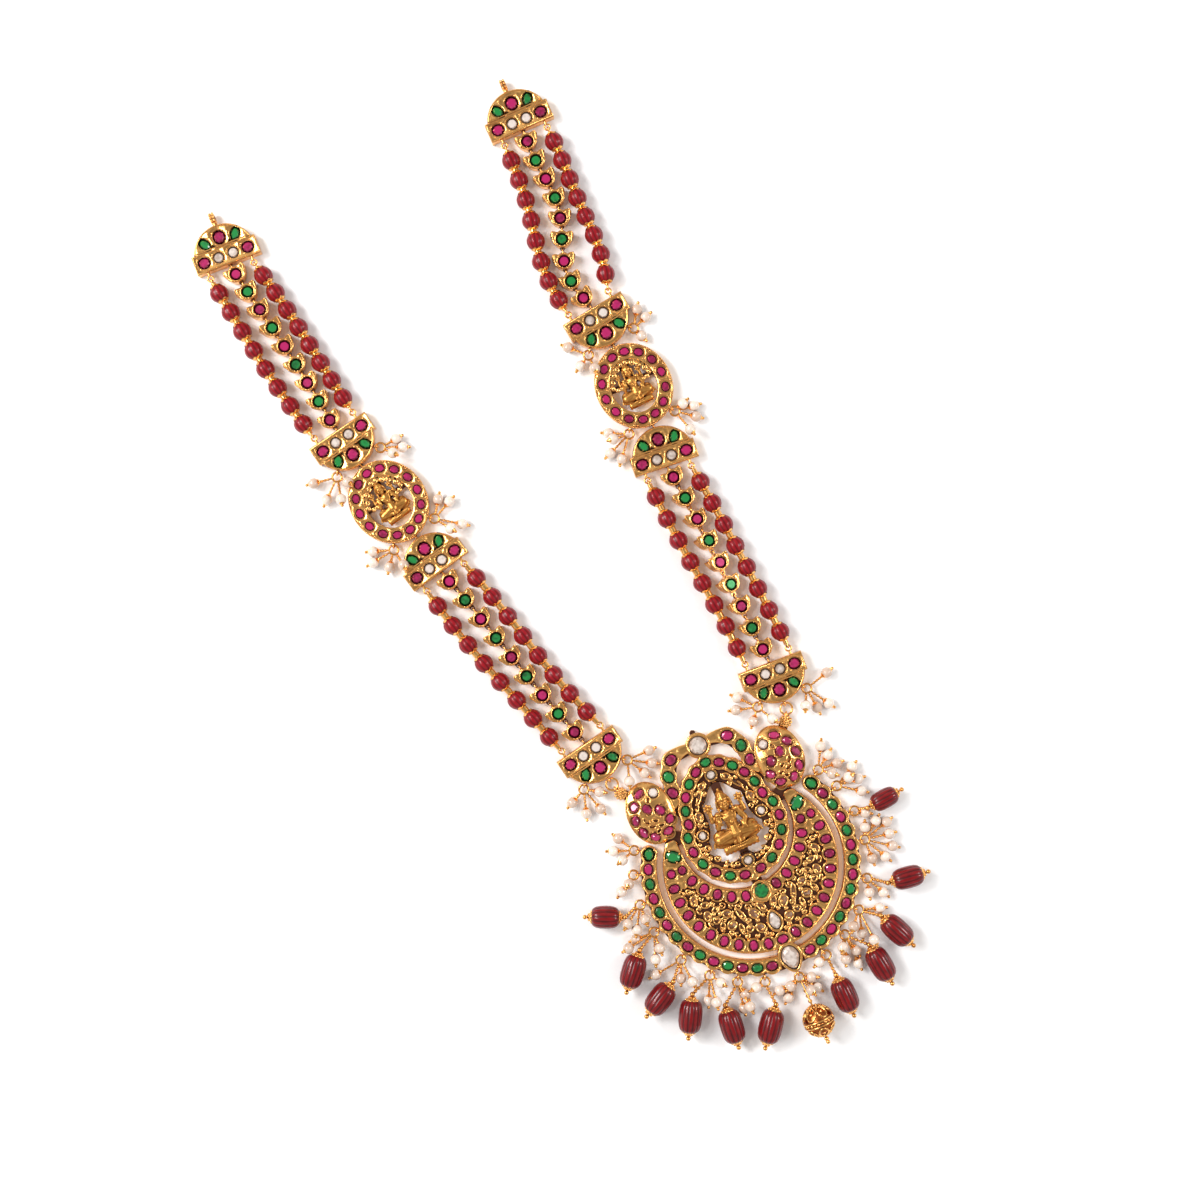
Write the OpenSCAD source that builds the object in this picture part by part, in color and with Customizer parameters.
// Temple jewellery necklace: a pierced, stone-set pendant with a seated figure, a fringe of
// carved drops and pearl bunches, and two straps of half-moon spacers, medallions, ribbed
// beads and stone-set bud links. It lies flat: the table is z = 0, the origin is the centre
// of the pendant's outer band, and +Y runs up to the neck. Sizes are in millimetres.

/* [Metal] */
// Thickness of the pendant's pierced plate
plate_t = 1.6; // [1.4:0.1:1.8]
// Height of the collets above the pendant's plate
collet_h = 1.1; // [0.9:0.1:1.3]
// Wall of every collet
collet_wall = 0.5; // [0.4:0.05:0.55]
// Thickness of the half-moons, medallions and links
cast_t = 3.2; // [3.1:0.1:3.6]
// Depth of the stone seats in the half-moons, medallions and links
seat_depth = 1.5; // [1.2:0.1:1.7]
// Radius of the wire of the strands and pins
wire_r = 0.3; // [0.25:0.01:0.32]

/* [Pendant] */
// Radius of the row of stones in the outer band
band_r = 32.7; // [32.2:0.1:33.2]
// Width of the outer band
band_w = 5.4; // [5:0.1:5.6]
// Through gap between the outer band and the crescent
band_gap = 1.9; // [1.5:0.1:2.1]
// Stones on each side of the outer band
band_stones = 14; // [12:1:14]
// Height of the centre of the oval frame's round bowl
frame_y = 13; // [12.8:0.1:13.3]
// Radius of the row of stones in the oval frame's bowl
frame_r = 15.1; // [14.9:0.1:15.3]
// Half width of a peacock boss
boss_a = 7.5; // [7.3:0.1:7.7]
// Half height of a peacock boss
boss_b = 10.3; // [10:0.1:10.5]
// Height of a boss's dome above the table
boss_h = 4.2; // [4:0.1:4.6]
// Height of the pendant's seated figure
figure_h = 21; // [20:0.5:21.5]

/* [Half-moons and medallions] */
// Width of a half-moon's bar
bar_w = 21.4; // [21:0.1:21.8]
// Height of a half-moon's bar
bar_h = 6.2; // [6:0.1:6.4]
// Radius of a half-moon's arch
arch_r = 10.2; // [10:0.1:10.4]
// Half width of a medallion
med_a = 12.2; // [12:0.1:12.5]
// Half height of a medallion
med_b = 13.8; // [13.6:0.1:14.1]
// Height of a medallion's seated figure
med_figure_h = 14.6; // [14:0.2:15]
// Radius of the drilled eye for the tie cord
cord_eye_r = 1; // [0.8:0.1:1.1]
// Length of the drilled eye
cord_eye_l = 1.6; // [1.4:0.1:2]

/* [Strands] */
// Diameter of a ribbed bead
bead_d = 6; // [5.8:0.1:6.2]
// Beads in one strand
bead_count = 8; // [7:1:8]
// Spread of the two bead strands from the strap's middle
strand_x = 7.4; // [7.2:0.1:7.6]
// Links in one middle strand
link_count = 9; // [7:1:9]
// Length of a bud link's body
link_l = 5.8; // [5.6:0.1:6]
// Width of a bud link across its outer petals
link_w = 7.6; // [7.2:0.1:7.8]

/* [Fringe] */
// Diameter of a pearl
pearl_d = 3.5; // [3.3:0.1:3.6]
// Diameter of the filigree ball
ball_d = 10.6; // [10.2:0.1:11]

/* [Hidden] */
$fn = 48;
gold = "#d9a441";
old_gold = "#a8712a";
ruby = "#b81e6e";
emerald = "#14813c";
white_stone = "#dcd2cb";
red_bead = "#b01f30";
maroon = "#962328";
pearl = "#ead7c6";

// Clearance between pieces that touch on the real necklace
fit = 0.1;
// Small overlap that welds one shape to the next
weld = 0.15;

// The strap's own sizes of its hook and eye joints
hook_r = 0.9;
hook_wire = 0.27;
joint_z = 1.3;
lip = 0.5;
link_lip = 0.3;
tongue_t = 0.5;
tongue_hole = hook_wire + 0.2;
tongue_w = 2 * (tongue_hole + 0.3);
notch_w = 1.4;
notch_l = hook_wire + 0.2;
notch_h = joint_z + hook_r + hook_wire + 0.15;

// Wire eyes of the bars, end loops of the strands and how far they stand from the bar
bead_r = bead_d / 2;
eye_r = 0.9;
loop_r = 0.95;
eye_z = bead_r - 0.55;
loop_z = eye_z + 0.15;
loop_step = eye_r + loop_r - 2 * wire_r - 0.13;
eye_out = 2.1;

// Lugs and jump rings that carry the pearl bunches
lug_r = 0.95;
lug_z = lug_r + wire_r + 0.25;
hub_r = 1.5;
hub_wire = 0.35;
lug_out = 0.5;
hub_step = lug_r + hub_r - wire_r - hub_wire - 0.15;
pearl_r = pearl_d / 2;

// Chosen routes: each strap's end half-moon and second half-moon as [x, y, turn], the turns
// of its medallion, third and fourth half-moons, and the direction from the boss to the last
straps = [
  [[27.9, 247.5, 0], [25.4, 180.4, 7.2], 3, -5, -2.9, 62],
  [[-75, 245.9, -2.7], [-64.6, 177.4, 10.5], 14, 12.5, 10.4, 104],
];
// Chosen sways of each strand about the straight line, as three waves of one, two and three
// half turns: inner beads, outer beads and links, upper section and then lower section
sways = [
  [[[-1.2, 1.4, -0.2], [1.7, -0.6, 0.4], [0, 1.9, -1.5]], [[0, -0.3, 0], [0.4, 0, 0], [0, 0.2, 0]]],
  [[[0.5, 0.2, 0], [-0.9, 0.2, 0], [0.3, -0.3, 0]], [[-0.6, 0.5, 0], [-0.8, -0.3, 0], [-0.3, 0.3, 0]]],
];
// Chosen rolls of each links strand in degrees: over its whole length, and more above than below
rolls = [[[0, 0], [20, 0]], [[7, 9], [0, 0]]];

// Fringe: where the bunches hang round the band, in degrees from the horizontal
hub_turns = [31, 19, 4, -11, -30, -46, -60, -73.5];
// Chosen pearls of each bunch as [turn from straight outwards, reach, height in pearl
// diameters], right side and then left side, from the top bunch down
pearls_right = [
  [[30, 7.6, 0.5], [4, 5.6, 0.5], [-35, 6.2, 0.5], [-68, 4.2, 1.3]],
  [[9, 7.8, 0.5], [-1, 4.6, 1.2], [-24, 7.2, 0.5], [-54, 8, 0.5]],
  [[-36, 3.4, 0.5]],
  [[78, 4, 0.5], [48, 7, 0.5], [27, 8.9, 0.5], [2, 7.9, 0.6], [-25, 9, 0.5], [-52, 8.4, 0.5], [-82, 6.4, 0.5]],
  [[-76, 4.4, 0.6], [-34, 6.8, 0.5]],
  [[-92, 5.2, 1.3], [-60, 7.4, 0.5], [-42, 9.6, 1.7], [28, 6.6, 0.5]],
  [[-71, 3.6, 1.2], [-18, 6, 0.5], [-52, 7.7, 0.5], [-28, 10, 0.5]],
  [[-88, 3.2, 0.6]],
];
pearls_left = [
  [[30, 6.4, 0.5], [-9, 6.6, 0.5], [-42, 4.6, 1.4]],
  [[-50, 2.8, 1.5], [-50, 6.6, 0.5]],
  [[-34, 6.7, 1.6], [-62, 7.4, 1.5], [-92, 4.4, 1.3]],
  [[13, 6.2, 0.5], [6, 9.4, 1.4], [-76, 5, 1.2], [-58, 8, 1.5]],
  [[24, 9.4, 0.5], [-36, 5.6, 0.8], [-66, 7.2, 1.4]],
  [[-84, 3.8, 1.3], [-34, 8, 1.5], [-18, 8, 0.5]],
  [[-40, 4.6, 0.5], [-34, 8, 1.4], [-20, 8.6, 0.5]],
  [[70, 3.4, 0.8]],
];
pearls_centre = [[-70, 4, 0.6], [68, 3.8, 0.6], [36, 6.4, 0.5], [22, 4.6, 1.6], [-80, 7.6, 0.5], [-52, 7.4, 0.5]];
// Chosen pearls of the bunches on each strap: the second half-moon's two, the medallion's and
// the fourth half-moon's, with turns counted anticlockwise
pearls_strap = [
  [
    [[-98, 7, 0.5], [-24, 4.4, 0.5], [35, 5.1, 1.4]], [[96, 6, 0.5], [58, 5.2, 0.5], [-29, 3.6, 0.5]],
    [[-84, 6.6, 0.5], [-61, 5.4, 1.4], [-36, 8.6, 0.5], [-8, 8.3, 0.5]],
    [[71, 3.4, 0.6], [44, 6.3, 0.5], [14, 7, 0.5], [-24, 7.8, 1.4]],
    [[-92, 7.3, 0.5], [-60, 7.1, 0.5], [5, 4.7, 0.5], [74, 5.6, 1.4]],
    [[65, 8.1, 0.5], [-8, 8.4, 0.5], [-36, 7, 0.5], [-72, 5.4, 1.4]],
  ],
  [
    [[-66, 7.7, 0.5], [-15, 8, 0.5], [23, 7.5, 1.4], [74, 4.4, 1.4]], [[42, 5.8, 0.5], [14, 7.1, 0.5], [-12, 4.8, 1.4]],
    [[-88, 6.6, 0.5], [-61, 7.7, 0.5], [-16, 5.6, 0.5], [33, 6, 1.5]],
    [[96, 6.2, 0.5], [66, 7.2, 0.5], [6, 9.1, 0.5], [-14, 6.4, 1.4]],
    [[-32, 5.6, 0.5], [15, 7.7, 0.5], [50, 8.2, 0.5], [92, 5.1, 0.8]],
    [[37, 7.6, 0.5], [6, 7.9, 0.5], [-24, 6.9, 0.5], [-72, 6.6, 1.4]],
  ],
];

// Drops as [bunch, turn of the stem, reach of the stem, swing of the drop, length, diameter]
drops_right = [
  [2, -8, 6, 1, 8.4, 6.2], [4, 2, 8.2, 22, 9.4, 7], [5, 4, 8.4, -20, 10.2, 7.6],
  [6, 9, 9.4, -23, 10.4, 7.6], [7, -15, 8.4, -16, 10.2, 7.6],
];
drops_left = [
  [2, -8, 7.6, 20, 8.8, 7.2], [3, -19, 8.8, -38, 10.2, 7.6], [4, -11, 8.8, 1, 10, 7.6],
  [5, 18, 9.4, -15, 10.2, 7.6], [6, 16, 9.4, -24, 10.2, 7.6], [7, -11, 9, 21, 10.4, 7.6],
];
cap_l = 1.9;
cap_r = 1.9;
finial_r = 0.75;

// Derived sizes of the pendant
band_in = band_r - band_w / 2;
band_out = band_r + band_w / 2;
crescent_r = band_in - band_gap;
crescent_y = frame_y - 0.7;
row_r = crescent_r - 2.6;
inner_row_r = 21.2;
horn_r = 18.6;
collet_z = plate_t + collet_h;
strip_t = plate_t - 0.4;

// Half sizes of the stones as [along, across]
band_stone = [2.05, 1.7];
row_stone = [2, 1.65];
horn_stone = [1.55, 1.65];
leaf_stone = [2.9, 2.1];
frame_stone = [1.95, 1.65];
arch_stone = [2.2, 1.9];
boss_stone = [1.6, 1.5];
med_stone = [1.75, 1.5];
polki_r = 3.1;
tear_stone_size = [3.1, 2];
bottom_stone_size = [4.1, 3.1];
centre_stone_r = 2.75;

// Points and frames
function turned(p, a) = [p[0] * cos(a) - p[1] * sin(a), p[0] * sin(a) + p[1] * cos(a)];
function at(place, p) = [place[0], place[1]] + turned(p, place[2]);
function polar(r, a) = [r * cos(a), r * sin(a)];
function flip(p) = [-p[0], p[1]];
function unit(v) = v / norm(v);
function lift(p, z) = [p[0], p[1], z];
function wave(c, t) = c[0] * sin(180 * t) + c[1] * sin(360 * t) + c[2] * sin(540 * t);
function oval(a, b, n = 12) = [for (i = [0 : n - 1]) [a * cos(i * 360 / n), b * sin(i * 360 / n)]];
// A leaf with a point at each end, or a teardrop with one point, along +X
function leaf(a, b, n = 6) = [
  for (i = [0 : 2 * n - 1]) let (t = 180 * i / n) [a * cos(t), b * sin(t) * (0.55 + 0.45 * abs(sin(t)))]
];
function teardrop(a, b, n = 12) = [
  for (i = [0 : n - 1]) let (t = 360 * i / n) [a * cos(t), b * sin(t) * (1 - 0.35 * max(0, cos(t)))]
];

module rod(p, q, r) {
  d = q - p;
  translate(p) rotate([0, acos(d[2] / norm(d)), atan2(d[1], d[0])]) cylinder(h = norm(d), r = r);
}
module torus(mean, wire) rotate_extrude() translate([mean, 0]) circle(r = wire);
module placed(place) translate([place[0], place[1], 0]) rotate(place[2]) children();
module mirrored() {
  children();
  mirror([1, 0, 0]) children();
}

// A cut stone: flat back, upright girdle, eight or more crown facets and a flat table
module cut_stone(outline, z, girdle, crown, table = 0.58) {
  n = len(outline);
  points = [
    for (p = outline) lift(p, z), for (p = outline) lift(p, z + girdle),
    for (p = outline) lift(p * table, z + girdle + crown)
  ];
  faces = [
    [for (i = [0 : n - 1]) i],
    for (k = [0, 1], i = [0 : n - 1]) [k * n + i, (k + 1) * n + i, (k + 1) * n + (i + 1) % n, k * n + (i + 1) % n],
    [for (i = [n - 1 : -1 : 0]) 2 * n + i]
  ];
  polyhedron(points, faces);
}
module collet(outline_in, outline_out, z0, z1) {
  translate([0, 0, z0]) linear_extrude(z1 - z0) difference() {
    polygon(outline_out);
    polygon(outline_in);
  }
}

// Hook and eye joint at the origin: the ring's wire passes upright through the tongue's hole.
// The ring hangs towards -Y and the tongue's metal lies towards +Y.
module hook() translate([0, -hook_r, joint_z]) rotate([0, 90, 0]) torus(hook_r, hook_wire);
module tongue(root) difference() {
  union() {
    translate([-tongue_w / 2, 0, joint_z - tongue_t / 2]) cube([tongue_w, root, tongue_t]);
    translate([0, 0, joint_z - tongue_t / 2]) cylinder(r = tongue_w / 2, h = tongue_t);
  }
  translate([0, 0, joint_z - tongue_t]) cylinder(r = tongue_hole, h = 2 * tongue_t);
}
module notch() translate([-notch_w / 2, -3, -1]) cube([notch_w, 3 + notch_l, notch_h + 1]);

// Lug at an edge whose outward direction is +X, and the jump ring that hangs on it
module lug() translate([lug_out, 0, lug_z]) rotate([90, 0, 0]) torus(lug_r, wire_r);
module hub() translate([0, 0, lug_z]) torus(hub_r, hub_wire);

// Half-moons: local origin at the bar's centre, arch towards +Y
strand_eye = [strand_x, -bar_h / 2 - eye_out];
// Joints of a piece that carries the tongue, and of one that carries the ring
tongue_in = hook_r - lip;
ring_out = hook_r + lip;
function bar_joint(k) = [0, -bar_h / 2 + (k % 2 == 0 ? tongue_in : -ring_out)];
function arch_joint(k) = [0, arch_r + (k == 1 ? -tongue_in : ring_out)];
function moon(side, k) =
  let (s = straps[side], h2 = s[1], med = medallion_place(side))
  k == 0 ? s[0]
  : k == 1 ? [h2[0], h2[1], h2[2] + 180]
  : k == 2 ? let (j = at(med, [0, -med_b + tongue_in]), p = j - turned(arch_joint(2), s[3])) [p[0], p[1], s[3]]
  : let (p = boss_link(side) - turned([0, arch_r + lug_out + boss_step], s[4] + 180)) [p[0], p[1], s[4] + 180];
function medallion_place(side) =
  let (s = straps[side], h2 = s[1], j = at([h2[0], h2[1], h2[2] + 180], arch_joint(1)),
       p = j - turned([0, med_b + ring_out], s[2])) [p[0], p[1], s[2]];
// The boss's lug and the jump ring between it and the last half-moon
boss_x = 22.5;
boss_y = frame_y + 15.2;
boss_lug_place = [boss_x + 7, boss_y + 10.9];
boss_ring_r = 1.9;
boss_step = lug_r + boss_ring_r - wire_r - hub_wire - 0.15;
function boss_lug(side) = side == 0 ? boss_lug_place : flip(boss_lug_place);
function boss_link(side) = boss_lug(side) + polar(lug_out + boss_step, straps[side][5]);

module seats(outline, z) translate([0, 0, z]) linear_extrude(cast_t) polygon(outline);
module half_moon_seats() {
  floor_z = cast_t - seat_depth;
  for (x = [-7.4, 7.4]) translate([x, 0]) seats(oval(2.15, 2), floor_z);
  for (x = [-2.45, 2.45]) translate([x, 0]) seats(oval(1.85, 1.9), floor_z);
  translate([0, 6.1]) seats(oval(2.15, 2.4), floor_z);
  for (s = [-1, 1]) translate([s * 5.2, 5.5]) rotate(s * -35) rotate(90) seats(leaf(2.6, 1.75), floor_z);
}
module half_moon(side, k) color(gold) placed(moon(side, k)) difference() {
  union() {
    difference() {
      linear_extrude(cast_t) union() {
        translate([-bar_w / 2, -bar_h / 2]) square([bar_w, bar_h]);
        intersection() {
          circle(r = arch_r);
          translate([-arch_r, 0]) square([2 * arch_r, arch_r]);
        }
      }
      if (k == 0 || k == 2) translate(bar_joint(k)) notch();
      if (k == 1) translate(arch_joint(k)) rotate(180) notch();
    }
    if (k == 0 || k == 2) translate(bar_joint(k)) tongue(notch_l + weld);
    if (k == 1 || k == 3) translate(bar_joint(k)) rotate(180) hook();
    if (k == 1) translate(arch_joint(k)) rotate(180) tongue(notch_l + weld);
    if (k == 2) translate(arch_joint(k)) hook();
    if (k == 3) translate([0, arch_r]) rotate(90) lug();
    if (k == 0) cord_eye();
    for (s = [-1, 1]) {
      translate([s * strand_x, -bar_h / 2 - eye_out, eye_z]) torus(eye_r, wire_r);
      rod([s * strand_x, -bar_h / 2 + weld, eye_z], [s * strand_x, -bar_h / 2 - eye_out + eye_r, eye_z], 0.45);
      if (k == 1 || k == 3) rotate(90 + s * bunch_turn) translate([arch_r, 0]) lug();
    }
  }
  half_moon_seats();
  for (s = [-1, 1]) translate([s * 2.9, bar_h / 2 + 0.55, -1]) linear_extrude(cast_t + 2)
    polygon([[-1.3, -0.1], [1.3, -0.1], [0, 1]]);
  if (k == 0) translate([0, cord_eye_y, cord_eye_z]) rotate([0, 90, 0])
    cylinder(h = 3 * cord_eye_l, r = cord_eye_r, center = true);
}
cord_eye_out = cord_eye_r + 0.5;
cord_eye_y = arch_r + 1.1 + cord_eye_out;
cord_eye_z = cord_eye_out + 0.45;
module cord_eye() {
  rod([0, arch_r - weld, cord_eye_z - 0.3], [0, cord_eye_y - cord_eye_out + weld, cord_eye_z - 0.3], 0.75);
  translate([0, cord_eye_y, cord_eye_z]) rotate([0, 90, 0]) {
    cylinder(h = cord_eye_l, r = cord_eye_out, center = true);
    for (a = [-120 : 40 : 120], x = [-0.5, 0.5]) rotate(180 + a)
      translate([cord_eye_out, 0, x * (cord_eye_l - 0.7)]) rotate([0, 90, 0]) sphere(r = 0.42);
  }
}

// Medallions: oval rings with their figures on a hidden strip
med_stone_a = med_a - 2.35;
med_stone_b = med_b - 2.5;
med_in_a = med_a - 4.7;
med_in_b = med_b - 5;
module medallion_lug(s) {
  a = -90 + (2 * s - 1) * 35;
  translate([med_a * cos(a), med_b * sin(a)]) rotate(a) children();
}
module medallion(side) color(gold) placed(medallion_place(side)) {
  difference() {
    union() {
      difference() {
        linear_extrude(cast_t) difference() {
          polygon(oval(med_a, med_b, 48));
          polygon(concat(
            [for (t = [180 : 12 : 360]) [med_in_a * cos(t), med_in_b * sin(t)]],
            [[med_in_a * 0.93, med_in_b * 0.3], [med_in_a * 0.62, med_in_b * 0.55], [med_in_a * 0.34, med_in_b * 0.74],
             [0, med_in_b * 0.92],
             [-med_in_a * 0.34, med_in_b * 0.74], [-med_in_a * 0.62, med_in_b * 0.55], [-med_in_a * 0.93, med_in_b * 0.3]]));
        }
        translate([0, -med_b + tongue_in]) notch();
      }
      translate([0, -med_b + tongue_in]) tongue(notch_l + weld);
      translate([0, med_b + ring_out]) hook();
      for (s = [0, 1]) medallion_lug(s) lug();
      translate([-1.5, -med_figure_h * 0.3]) cube([3, med_in_b + med_figure_h * 0.3, strip_t]);
      translate([-med_in_a - 1, med_in_b * 0.08]) cube([2 * med_in_a + 2, 1.6, strip_t]);
    }
    for (i = [0 : 13]) {
      t = 90 + (i + (side == 0 ? 0.5 : 0)) * 360 / 14;
      translate([med_stone_a * cos(t), med_stone_b * sin(t)]) rotate(atan2(med_a * sin(t), med_b * cos(t)) + 90)
        seats(oval(med_stone[0], med_stone[1], 10), cast_t - seat_depth);
    }
    for (s = [-1, 1], p = [[0.84, 0.52], [0.72, 0.68], [0.24, 0.96]])
      translate([s * p[0] * med_in_a, p[1] * med_in_b, -1]) cylinder(r = 0.45, h = cast_t + 2);
  }
}

// Seated figure with four arms on a lotus base, lying on its back at z, feet towards -Y.
// Every size is a share of its height, on textbook proportions.
module limb(p, q, r, s) hull() {
  translate(p) sphere(r = r);
  translate(q) sphere(r = s);
}
module seated_figure(h, z, sides) {
  u = h / 20;
  $fn = sides;
  translate([0, 0, z]) scale(u) intersection() {
    translate([-20, -20, 0]) cube([40, 40, 40]);
    union() {
      // Lotus base in two tiers with a row of petals
      hull() {
        translate([-5.8, -10, 0]) cube([11.6, 1.2, 2.6]);
        translate([-5, -8.4, 0]) cube([10, 0.8, 3]);
      }
      for (i = [-2 : 2]) limb([2.3 * i, -8, 0.8], [2.1 * i, -7.4, 1.6], 1.3, 0.9);
      for (s = [-1, 1]) {
        // Crossed legs, knees and feet
        limb([s * 1.4, -4.6, 1.6], [s * 5.9, -5.5, 1.5], 1.6, 1.5);
        limb([s * 5.9, -5.5, 1.5], [s * -1.4, -6.5, 2.6], 1.3, 1);
        // Lower arms, one hand raised and one open, and raised arms with flowers
        limb([s * 2.5, 2.2, 1.6], [s * 4.5, -1.2, 1.7], 1.05, 0.8);
        limb([s * 4.5, -1.2, 1.7], [s * 3.3, s < 0 ? 1 : -3.2, 3.1], 0.8, 0.95);
        limb([s * 2.5, 2.4, 1], [s * 5.1, 1.2, 1.1], 0.85, 0.75);
        limb([s * 5.1, 1.2, 1.1], [s * 4.9, 4.8, 1.3], 0.7, 1.15);
        translate([s * 1.1, 1, 2.5]) sphere(r = 0.95);
      }
      // Trunk, neck, head, crown and halo
      limb([0, -4.6, 1.4], [0, -1.4, 1.4], 2.2, 1.55);
      limb([0, -1.4, 1.4], [0, 1.7, 1.5], 1.55, 2.1);
      limb([0, 2.4, 1.6], [0, 3.8, 1.9], 0.9, 0.9);
      limb([0, 4.3, 1.9], [0, 5.3, 1.8], 1.4, 1.75, $fn = 10);
      limb([0, 6.4, 1.6], [0, 8.2, 1.5], 2, 1.3, $fn = 10);
      limb([0, 8.6, 1.5], [0, 9.6, 1.4], 0.9, 0.4);
      translate([0, 5.4, 0]) cylinder(h = 0.8, r = 2.9, $fn = 12);
      limb([0, -6, 0.6], [0, 8.6, 0.6], 1, 0.8);
    }
  }
}
figure_y = frame_y + 3.6;
module pendant_figure() color(old_gold) translate([0, figure_y, 0]) seated_figure(figure_h, plate_t + fit, 8);
module medallion_figure(side) color(old_gold) placed(medallion_place(side))
  translate([0, med_figure_h * 0.05, 0]) seated_figure(med_figure_h, strip_t + fit, 5);

// Pendant: places of the stones as [x, y, turn]
function band_place(i) = let (a = 30 - i * 108.4 / (band_stones - 1), p = polar(band_r, a)) [p[0], p[1], a + 90];
row_step = 10.76;
function row_place(i) = let (a = 17.6 - i * row_step, p = polar(row_r, a)) [p[0], p[1], a];
function inner_place(i) = let (a = -13.2 - i * 12.48, p = [0, crescent_y] + polar(inner_row_r, a)) [p[0], p[1], a];
// The oval frame: a round bowl below and two arcs that meet in a point above
frame_top_r = 17.85;
frame_top = [-5, frame_y + 6];
frame_places = concat(
  [for (i = [0 : 5]) let (a = 12 - i * 18.3, p = [0, frame_y] + polar(frame_r, a)) [p[0], p[1], a + 90]],
  [for (i = [0 : 4]) let (a = 3.2 + i * 14.1, p = frame_top + polar(frame_top_r, a)) [p[0], p[1], a + 90]]);
frame_tip = [0, frame_y + 23.1, 0];
arch_places = [[9.8, frame_y + 28.2, -20], [12.65, frame_y + 23.5, 75], [13.5, frame_y + 18.3, 60]];
leaf_place = [21.6, frame_y - 0.4, 38];
boss_places = [
  [0.12, 0.73], [0.55, 0.41], [0.73, -0.01], [0.63, -0.45], [0.23, -0.77], [-0.4, -0.79],
  [-0.72, -0.43], [-0.47, -0.04], [0.07, 0.2], [-0.48, 0.61]
];
top_y = frame_y + 29;
bottom_y = -band_r + 0.8;
centre_y = crescent_y - inner_row_r + 0.2;
tear_y = centre_y - 10.3;

module disc_row(places, r) for (p = places) translate([p[0], p[1]]) circle(r = r);
module strip_between(p, q, w) {
  d = unit([q[0] - p[0], q[1] - p[1]]) * w / 2;
  n = [-d[1], d[0]];
  polygon([[p[0], p[1]] + n, [q[0], q[1]] + n, [q[0], q[1]] - n, [p[0], p[1]] - n]);
}
module band_shape() {
  difference() {
    circle(r = band_out - 0.4);
    circle(r = band_in);
    polygon([[0, 0], polar(60, 30), [0, 90], polar(60, 150)]);
  }
  mirrored() disc_row([for (i = [0 : band_stones - 1]) band_place(i)], band_w / 2 + 0.05);
}
module crescent_shape() {
  difference() {
    intersection() {
      circle(r = crescent_r);
      translate([-40, -40]) square([80, 40 + frame_y + 4.6]);
    }
    translate([0, crescent_y]) circle(r = horn_r);
    translate([-horn_r, crescent_y]) square([2 * horn_r, 20]);
  }
}
module frame_shape() {
  rows = concat([for (i = [5 : -1 : 0]) frame_places[i]], [for (i = [6 : 10]) frame_places[i]], [frame_tip]);
  mirrored() {
    disc_row(rows, 2.55);
    for (i = [0 : len(rows) - 2]) strip_between(rows[i], rows[i + 1], 4.3);
  }
  strip_between([-3, rows[0][1] - 0.2], [3, rows[0][1] - 0.2], 4);
  // Inner ledge with its scrolls, and the collets of the white stones
  mirrored() difference() {
    polygon([for (p = rows) [p[0], p[1]]]);
    translate([0, frame_y]) polygon(ledge);
  }
  translate([0, frame_y + 18.7]) circle(r = 2.3);
  translate([0, frame_y - 11]) circle(r = 2.2);
}
module boss_shape() translate([boss_x, boss_y]) polygon(oval(boss_a, boss_b, 32));
module arch_shape() {
  translate([0, top_y]) circle(r = polki_r + 0.8);
  mirrored() {
    disc_row(arch_places, 2.75);
    strip_between([2, top_y + 0.2], arch_places[0], 3.6);
    strip_between(arch_places[0], arch_places[1], 4.6);
    strip_between(arch_places[1], arch_places[2], 4.6);
    strip_between(arch_places[2], [14.6, boss_y - 3], 4);
    strip_between(arch_places[2], [18.6, boss_y + 3], 4);
    strip_between([11, frame_y + 16], [16, frame_y + 12], 5);
  }
  strip_between([0, top_y], frame_tip, 2.4);
  translate([0, top_y + polki_r + 1.2]) circle(r = 0.9);
}
// Bridges that tie the figure's strip and the crescent to the frame and the band
module bridges() {
  strip_between([0, frame_y - 14], [0, frame_y + 20], 3);
  strip_between([0, centre_y], [0, frame_y - 16], 3.4);
  mirrored() {
    strip_between([15.6, frame_y + 4.4], [18.8, frame_y + 6], 2.4);
    strip_between([18.4, frame_y + 2], [19.6, frame_y + 8], 3);
    strip_between([boss_x + 3, boss_y + 6], boss_lug_place - polar(0.6, 62), 3);
  }
  translate([0, centre_y]) circle(r = centre_stone_r + collet_wall);
  translate([0, bottom_y]) rotate(-90) polygon(teardrop(bottom_stone_size[0] + 1, bottom_stone_size[1] + 0.9, 24));
}
// Openings of the scroll work as [x, y, half length, half width, turn], right half
scrolls = [
  [1.9, -13.5, 1.7, 0.95, 62], [5, -14.6, 1.9, 1.3, 60], [9, -13.3, 2.6, 0.75, 70],
  [4.7, -19.5, 1.6, 1.35, 40], [8, -18.3, 1.2, 0.95, -20], [10.5, -17.5, 1.6, 0.65, 90],
  [12.8, -11, 1.5, 1.15, 20], [12.8, -15, 1.6, 1.25, -20], [12.6, -18.5, 0.7, 0.5, 40],
  [11, -9.3, 0.6, 0.4, 60], [15.8, -8.3, 1.2, 0.8, -20], [16.8, -11.7, 1.1, 1, 0],
  [15.9, -14.5, 1.3, 0.75, 110], [18.9, -12.9, 1.4, 0.45, 62], [19.1, -9.6, 1.6, 1.05, 100],
  [18.2, -5.7, 1.4, 0.9, 10], [20.9, -6.8, 0.9, 0.6, 70], [18.8, -3.5, 0.45, 0.45, 0],
  [21.3, -3.3, 1.6, 1, 105], [21.5, 0.2, 0.8, 0.7, 30], [22.1, 3.2, 1.3, 0.5, 92],
];
frame_scrolls = [
  [4.1, 16.6, 1.3, 0.95, -30], [6.5, 13.2, 1.9, 0.5, -52], [8.3, 10.7, 1, 0.45, -75],
  [8.9, 7.6, 1.5, 1.1, 100], [10.2, -2.4, 0.8, 0.7, 0], [8.6, -6.8, 0.9, 0.7, 20], [5.9, -9.4, 0.9, 0.55, 20],
];
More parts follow.
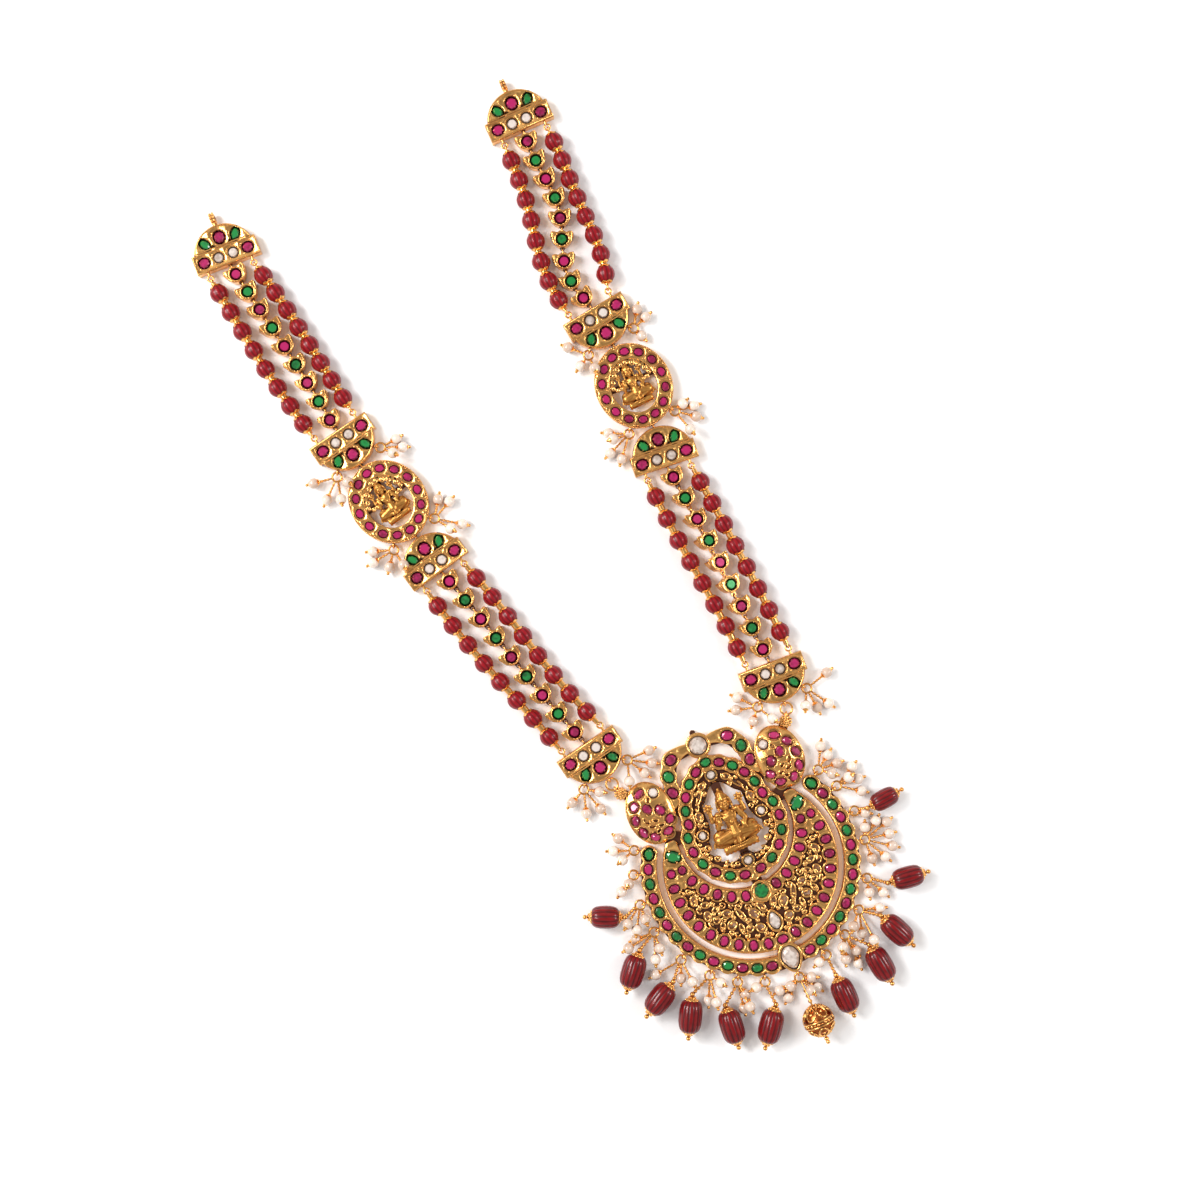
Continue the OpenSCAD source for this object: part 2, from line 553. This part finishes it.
// Inner edge of the oval frame's ledge as [x, y above the bowl's centre], right half from the top
ledge = [
  [0, 16.3], [1.9, 15.6], [3.5, 13.9], [5, 11.9], [6.8, 10.2], [7, 7.6], [7, 5.4], [7.3, 3], [8.4, 0.3],
  [9.4, -0.8], [9.1, -2.6], [10.6, -4.2], [9.6, -5.6], [8.2, -8.2], [6.4, -9.1], [4.8, -10], [2.4, -9.6], [1.6, -8.6], [0, -8.2],
];
module piercings() mirrored() {
  for (s = scrolls) translate([s[0], s[1]]) rotate(s[4]) polygon(oval(s[2], s[3], 8));
  for (s = frame_scrolls) translate([s[0], frame_y + s[1]]) rotate(s[4]) polygon(oval(s[2], s[3], 8));
  for (q = [[-0.9, -4, 20], [1.5, -2.6, 60], [-0.5, -2, 100], [2.1, -4.8, 30]])
    translate([boss_x + q[0], boss_y + q[1]]) rotate(q[2]) polygon(oval(0.95, 0.4, 8));
}
module plate_seat(p, size, n = 12, z = plate_t)
  translate([p[0], p[1], z]) rotate(p[2]) linear_extrude(boss_h) polygon(oval(size[0], size[1], n));
module plate_collet(p, size, n = 10, z = plate_t) translate([p[0], p[1]]) rotate(p[2])
  collet(oval(size[0], size[1], n), oval(size[0] + collet_wall, size[1] + collet_wall, n), z - 0.5, z + collet_h);
boss_ball_r = 20;
module boss_dome() translate([boss_x, boss_y, 0]) intersection() {
  linear_extrude(boss_h + 1) polygon(oval(boss_a, boss_b, 32));
  translate([0, 0, boss_h - boss_ball_r]) sphere(r = boss_ball_r);
}
function dome_z(x, y) = boss_h - boss_ball_r + sqrt(boss_ball_r * boss_ball_r - x * x - y * y);
module boss_stone_place(s) {
  x = s[0] * boss_a;
  y = s[1] * boss_b;
  translate([boss_x + x, boss_y + y, dome_z(x, y)]) children();
}
module pendant_plate() color(gold) difference() {
  union() {
    linear_extrude(plate_t) difference() {
      union() {
        band_shape();
        crescent_shape();
        frame_shape();
        arch_shape();
        mirrored() boss_shape();
        bridges();
      }
      piercings();
    }
    mirrored() {
      for (i = [0 : band_stones - 1]) plate_collet(band_place(i), band_stone);
      for (i = [0 : 9]) plate_collet(row_place(i), i == 0 ? horn_stone : row_stone);
      for (i = [0 : 5]) plate_collet(inner_place(i), i == 0 ? horn_stone : row_stone);
      for (i = [0 : 10]) plate_collet(frame_places[i], frame_stone);
      for (p = arch_places) plate_collet(p, arch_stone);
      plate_collet(leaf_place, leaf_stone, 12);
      boss_dome();
      for (s = boss_places) boss_stone_place(s) translate([0, 0, -0.8]) cylinder(r = boss_stone[0] + 0.35, h = 1.2);
    }
    plate_collet([0, -row_r, 0], row_stone);
    plate_collet(frame_tip, frame_stone);
    plate_collet([0, top_y, 0], [polki_r, polki_r], 16);
    plate_collet([0, centre_y, 0], [centre_stone_r, centre_stone_r], 16);
    plate_collet([0, frame_y + 18.7, 0], [1.6, 1.6]);
    plate_collet([0, frame_y - 11, 0], [1.6, 1.6]);
    translate([0, tear_y]) rotate(90)
      collet(teardrop(tear_stone_size[0], tear_stone_size[1]), teardrop(tear_stone_size[0] + 0.6, tear_stone_size[1] + collet_wall), plate_t - 0.5, collet_z);
    translate([0, bottom_y]) rotate(-90)
      collet(teardrop(bottom_stone_size[0], bottom_stone_size[1], 24), teardrop(bottom_stone_size[0] + 0.6, bottom_stone_size[1] + collet_wall, 24), plate_t - 0.5, collet_z);
    mirrored() {
      for (a = hub_turns) rotate(a) translate([band_out, 0]) lug();
      translate(boss_lug_place - polar(1.5, 62)) cylinder(r = 1.7, h = 2 * lug_z);
    }
    translate([0, bottom_y - bottom_stone_size[0] - 0.9]) rotate(-90) lug();
    for (side = [0, 1]) translate(boss_lug(side)) rotate(straps[side][5]) lug();
  }
  mirrored() for (s = boss_places) boss_stone_place(s) cylinder(r = boss_stone[0], h = boss_h);
}

// Stones of the pendant
stone_z = plate_t + fit;
girdle = collet_h - 0.2;
crown = 0.7;
module plate_stone(p, size, n = 8) translate([p[0], p[1]]) rotate(p[2])
  cut_stone(oval(size[0] - fit, size[1] - fit, n), stone_z, girdle, crown);
module band_stones_all() for (i = [0 : band_stones - 1]) color(i % 2 == 0 ? emerald : ruby)
  mirrored() plate_stone(band_place(i), band_stone);
module frame_stones_all() {
  color(emerald) plate_stone(frame_tip, frame_stone);
  for (i = [0 : 10]) color((i < 6 ? i : i + 1) % 2 == 0 ? emerald : ruby) mirrored() plate_stone(frame_places[i], frame_stone);
}
module arch_stones_all() mirrored() {
  color(ruby) plate_stone(arch_places[0], arch_stone);
  color(emerald) plate_stone(arch_places[1], arch_stone);
  color(ruby) plate_stone(arch_places[2], arch_stone);
  color(emerald) plate_stone(leaf_place, leaf_stone, 10);
}
module top_stone() color(white_stone) translate([0, top_y])
  cut_stone(oval(polki_r - fit, polki_r - fit, 12), stone_z, girdle, crown + 0.3);
module centre_stone() color(emerald) translate([0, centre_y])
  cut_stone(oval(centre_stone_r - fit, centre_stone_r - fit, 12), stone_z, girdle, crown + 0.2);
module tear_stone() color(white_stone) translate([0, tear_y]) rotate(90)
  cut_stone(teardrop(tear_stone_size[0] - fit, tear_stone_size[1] - fit), stone_z, girdle, crown);
module bottom_stone() color(white_stone) translate([0, bottom_y]) rotate(-90)
  cut_stone(teardrop(bottom_stone_size[0] - fit, bottom_stone_size[1] - fit, 16), stone_z, girdle, crown + 0.3);

// Fringe: jump ring, pins, pearls cemented on the pins, and the caps and pin of a drop
bunch_turn = 43;
hub_reach = band_out + lug_out + hub_step;
module bunch(pearls) {
  hub();
  for (p = pearls) {
    c = lift(polar(p[1], p[0]), p[2] * pearl_d);
    way = unit(c - [0, 0, lug_z]);
    start = lift(polar(hub_r, p[0]), lug_z);
    tip = c + way * (pearl_r + 0.5);
    rod(start, tip, wire_r);
    translate(c) rotate(p[0] + 90) sphere(r = pearl_r);
    translate(tip) rotate(p[0] + 90) sphere(r = 0.55);
  }
}
// A drop's place in its bunch: start of its body, direction and height
function drop_root(d) = lift(polar(d[2], d[1]), d[5] / 2);
module drop_mount(d) {
  root = drop_root(d);
  back = root - lift(polar(cap_l, d[3]), 0);
  rod(lift(polar(hub_r, d[1]), lug_z), back, wire_r + 0.1);
  translate(back) rotate(d[3] + 90) sphere(r = 0.9);
  translate(root) rotate([0, 90, d[3]]) {
    translate([0, 0, -cap_l + 0.2]) cylinder(h = cap_l - 0.2 - fit, r1 = 0.7, r2 = cap_r);
    translate([0, 0, -cap_l / 2]) cylinder(h = d[4] + cap_l, r = wire_r);
    translate([0, 0, d[4] + fit]) cylinder(h = cap_l - 0.2 - fit, r1 = cap_r, r2 = 0.6);
    translate([0, 0, d[4] + cap_l + 0.2]) sphere(r = finial_r);
  }
}
// Barrel profile as [share of the radius, share of the length]
barrel = [[0.6, 0], [0.8, 0.06], [0.93, 0.17], [1, 0.36], [1, 0.64], [0.93, 0.83], [0.8, 0.94], [0.6, 1]];
module drop_body(d) translate(drop_root(d)) rotate([0, 90, d[3]]) rotate_extrude() polygon(concat(
  [[wire_r + fit + 0.1, 0]], [for (q = barrel) [q[0] * d[5] / 2, q[1] * d[4]]], [[wire_r + fit + 0.1, d[4]]]));
module at_hub(side, k) mirror([side, 0, 0]) rotate(hub_turns[k]) translate([hub_reach, 0]) children();
module fringe(side) color(gold) {
  for (k = [0 : len(hub_turns) - 1]) at_hub(side, k) union() {
    bunch(side == 0 ? pearls_right[k] : pearls_left[k]);
    for (d = side == 0 ? drops_right : drops_left) if (d[0] == k) drop_mount(d);
  }
  if (side == 0) translate([0, bottom_y - bottom_stone_size[0] - 0.9 - lug_out - hub_step]) rotate(-90) union() {
    bunch(pearls_centre);
    rod([hub_r, 0, lug_z], [ball_reach - 1.2, 0, ball_d / 2], wire_r + 0.1);
    translate([ball_reach - 1.2, 0, ball_d / 2]) rotate([0, 90, 0]) {
      sphere(r = 0.7);
      cylinder(h = ball_d + 2.4, r = wire_r);
      translate([0, 0, 0.4]) cylinder(h = 0.7, r1 = 1, r2 = 1.6);
      translate([0, 0, ball_d + 1.3]) cylinder(h = 0.6, r1 = 1.4, r2 = 0.6);
      translate([0, 0, ball_d + 1.7]) cylinder(h = 1.6, r = 0.6);
      translate([0, 0, ball_d + 3.3]) sphere(r = finial_r);
    }
  }
}
module drop(side, i) color(maroon) {
  d = side == 0 ? drops_right[i] : drops_left[i];
  at_hub(side, d[0]) drop_body(d);
}
// Hollow filigree ball: a pierced shell with raised bosses round its middle
ball_reach = 8.8;
ball_wall = 0.7;
module filigree_ball() color(gold)
  translate([0, bottom_y - bottom_stone_size[0] - 0.9 - lug_out - hub_step - ball_reach - ball_d / 2, ball_d / 2])
  rotate([90, 0, 0]) difference() {
    union() {
      sphere(r = ball_d / 2 - 0.3);
      for (z = [-1, 1]) translate([0, 0, z * 1.3]) torus(ball_d / 2 - 0.6, 0.45);
      for (i = [0 : 7]) rotate(i * 45 + 22.5) translate([ball_d / 2 - 0.45, 0, 0]) sphere(r = 0.45);
    }
    sphere(r = ball_d / 2 - 0.3 - ball_wall);
    cylinder(h = 2 * ball_d, r = wire_r + 0.2, center = true);
    for (s = [-1, 1], i = [0 : 5]) rotate([0, 0, i * 60]) rotate([0, 90 + s * 42, 0]) cylinder(h = ball_d, r = 0.75);
  }

// Jump rings between the bosses and the last half-moons
module boss_rings() color(gold) for (side = [0, 1])
  translate(lift(boss_link(side), lug_z)) torus(boss_ring_r, hub_wire);

// Bunches on the straps hang from the second and fourth half-moons and from the medallions
module strap_bunches(side) color(gold) for (s = [0, 1]) {
  for (k = [1, 3]) placed(moon(side, k)) rotate(90 + (2 * s - 1) * bunch_turn)
    translate([arch_r + lug_out + hub_step, 0]) bunch(pearls_strap[side][k == 1 ? s : 4 + s]);
  placed(medallion_place(side)) medallion_lug(s) translate([lug_out + hub_step, 0]) bunch(pearls_strap[side][2 + s]);
}

// Strands: the route of a strand between two eyes or joints
function route(a, b, sway, t) = let (d = b - a, n = [-d[1], d[0]] / norm(d)) a + t * d + n * wave(sway, t);
function section_moons(side, part) = [moon(side, 2 * part), moon(side, 2 * part + 1)];
function eye_sign(side, place) = side == 0 ? 1 : -1;
// Ends of the strand: place 0 is nearer the neck opening, 1 further out, 2 the middle
function strand_end(side, part, place, end) =
  let (m = section_moons(side, part)[end], x = (side == 0 ? -1 : 1) * (place == 0 ? 1 : -1) * (end == 0 ? 1 : -1))
  place == 2 ? at(m, bar_joint(end)) : at(m, [x * strand_x, strand_eye[1]]);
lead = loop_step + loop_r;
function bead_joint(side, part, place, i) =
  let (a = strand_end(side, part, place, 0), b = strand_end(side, part, place, 1), s = sways[side][part][place],
       t0 = lead / norm(b - a), t = t0 + (1 - 2 * t0) * i / bead_count)
  lift(route(a, b, s, t), bead_r);
module along(p, q) {
  d = q - p;
  translate((p + q) / 2) rotate([0, acos(d[2] / norm(d)), atan2(d[1], d[0])]) children();
}
module beads(side, part, place) color(red_bead) for (i = [0 : bead_count - 1])
  along(bead_joint(side, part, place, i), bead_joint(side, part, place, i + 1)) difference() {
    sphere(r = bead_r);
    cylinder(h = bead_d + 2, r = wire_r + fit + 0.1, center = true);
  }
module strand_wire(side, part, place) color(gold) union() {
  for (i = [0 : bead_count - 1]) {
    p = bead_joint(side, part, place, i);
    q = bead_joint(side, part, place, i + 1);
    rod(p + unit(q - p) * 0.08, q - unit(q - p) * 0.08, wire_r);
  }
  for (i = [0 : bead_count]) {
    p = bead_joint(side, part, place, i);
    q = bead_joint(side, part, place, i + (i < bead_count ? 1 : -1));
    room = norm(q - p) - bead_d;
    along(p * 2 - q, q) cylinder(h = room - 0.2, r = i % bead_count == 0 ? 0.8 : 1.1, center = true);
  }
  for (end = [0, 1]) {
    eye = strand_end(side, part, place, end);
    p = bead_joint(side, part, place, end * bead_count);
    way = unit([p[0], p[1]] - eye);
    c = lift(eye + way * loop_step, loop_z);
    translate(c) rotate(atan2(way[1], way[0])) rotate([90, 0, 0]) torus(loop_r, wire_r - 0.02);
    rod(c + lift(way * loop_r, 0), p - lift(way * 0.08, 0), 0.2);
  }
}

// Bud links: each has the ring towards the neck and the tongue below
function link_roll(c, t) = sin(180 * t) * (c[0] * sin(180 * t) + c[1] * sin(360 * t));
function link_axis_z(r) = joint_z + (link_w / 2 + 1.2) * abs(sin(r));
function link_joint(side, part, i) =
  let (a = strand_end(side, part, 2, 0), b = strand_end(side, part, 2, 1), t = i / link_count)
  lift(route(a, b, sways[side][part][2], t), link_axis_z(link_roll(rolls[side][part], t)));
// Half outline of a bud from its top petal to its foot, as shares of half width and length
bud = [[0, 0.5], [0.12, 0.46], [0.3, 0.4], [0.4, 0.28], [0.62, 0.3], [0.98, 0.3], [1, 0.2],
       [0.86, 0], [0.74, -0.18], [0.5, -0.37], [0.25, -0.47], [0, -0.5]];
function bud_outline() = concat(
  [for (p = bud) [p[0] * link_w / 2, p[1] * link_l]],
  [for (i = [len(bud) - 2 : -1 : 1]) [-bud[i][0] * link_w / 2, bud[i][1] * link_l]]);
module bud_link(c) {
  top = c / 2 - hook_r - link_lip;
  translate([0, 0, -joint_z]) {
    translate([0, c / 2]) hook();
    difference() {
      translate([0, top - link_l / 2]) linear_extrude(cast_t) polygon(bud_outline());
      translate([0, top - link_l / 2 - 0.25, cast_t - seat_depth]) cylinder(h = cast_t, r = 1.95);
      translate([0, -c / 2]) notch();
    }
    translate([0, -c / 2]) tongue(max(notch_l, c / 2 + top - link_l) + 0.6);
  }
}
module links(side, part) color(gold) for (i = [0 : link_count - 1]) {
  p = link_joint(side, part, i);
  q = link_joint(side, part, i + 1);
  d = p - q;
  roll = link_roll(rolls[side][part], (i + 0.5) / link_count);
  translate((p + q) / 2) rotate([0, 0, atan2(d[1], d[0]) - 90]) rotate([asin(d[2] / norm(d)), 0, 0])
    rotate([0, roll, 0]) bud_link(norm(d));
}

pendant_plate();
pendant_figure();
top_stone();
bottom_stone();
centre_stone();
tear_stone();
band_stones_all();  // band_stones
frame_stones_all();  // frame_stones
arch_stones_all();  // arch_stones
fringe(0);  // fringe_right
fringe(1);  // fringe_left
filigree_ball();
drop(0, 0);  // drop_r1
drop(0, 1);  // drop_r2
drop(0, 2);  // drop_r3
drop(0, 3);  // drop_r4
drop(0, 4);  // drop_r5
drop(1, 0);  // drop_l1
drop(1, 1);  // drop_l2
drop(1, 2);  // drop_l3
drop(1, 3);  // drop_l4
drop(1, 4);  // drop_l5
drop(1, 5);  // drop_l6
boss_rings();
half_moon(0, 0);  // half_moon_r1
half_moon(0, 1);  // half_moon_r2
half_moon(0, 2);  // half_moon_r3
half_moon(0, 3);  // half_moon_r4
half_moon(1, 0);  // half_moon_l1
half_moon(1, 1);  // half_moon_l2
half_moon(1, 2);  // half_moon_l3
half_moon(1, 3);  // half_moon_l4
medallion(0);  // medallion_r
medallion(1);  // medallion_l
medallion_figure(0);  // medallion_figure_r
medallion_figure(1);  // medallion_figure_l
strap_bunches(0);  // strap_bunches_r
strap_bunches(1);  // strap_bunches_l
links(0, 0);  // links_r_upper
links(0, 1);  // links_r_lower
links(1, 0);  // links_l_upper
links(1, 1);  // links_l_lower
beads(0, 0, 0);  // beads_r_upper_in
beads(0, 0, 1);  // beads_r_upper_out
beads(0, 1, 0);  // beads_r_lower_in
beads(0, 1, 1);  // beads_r_lower_out
beads(1, 0, 0);  // beads_l_upper_in
beads(1, 0, 1);  // beads_l_upper_out
beads(1, 1, 0);  // beads_l_lower_in
beads(1, 1, 1);  // beads_l_lower_out
strand_wire(0, 0, 0);  // wire_r_upper_in
strand_wire(0, 0, 1);  // wire_r_upper_out
strand_wire(0, 1, 0);  // wire_r_lower_in
strand_wire(0, 1, 1);  // wire_r_lower_out
strand_wire(1, 0, 0);  // wire_l_upper_in
strand_wire(1, 0, 1);  // wire_l_upper_out
strand_wire(1, 1, 0);  // wire_l_lower_in
strand_wire(1, 1, 1);  // wire_l_lower_out
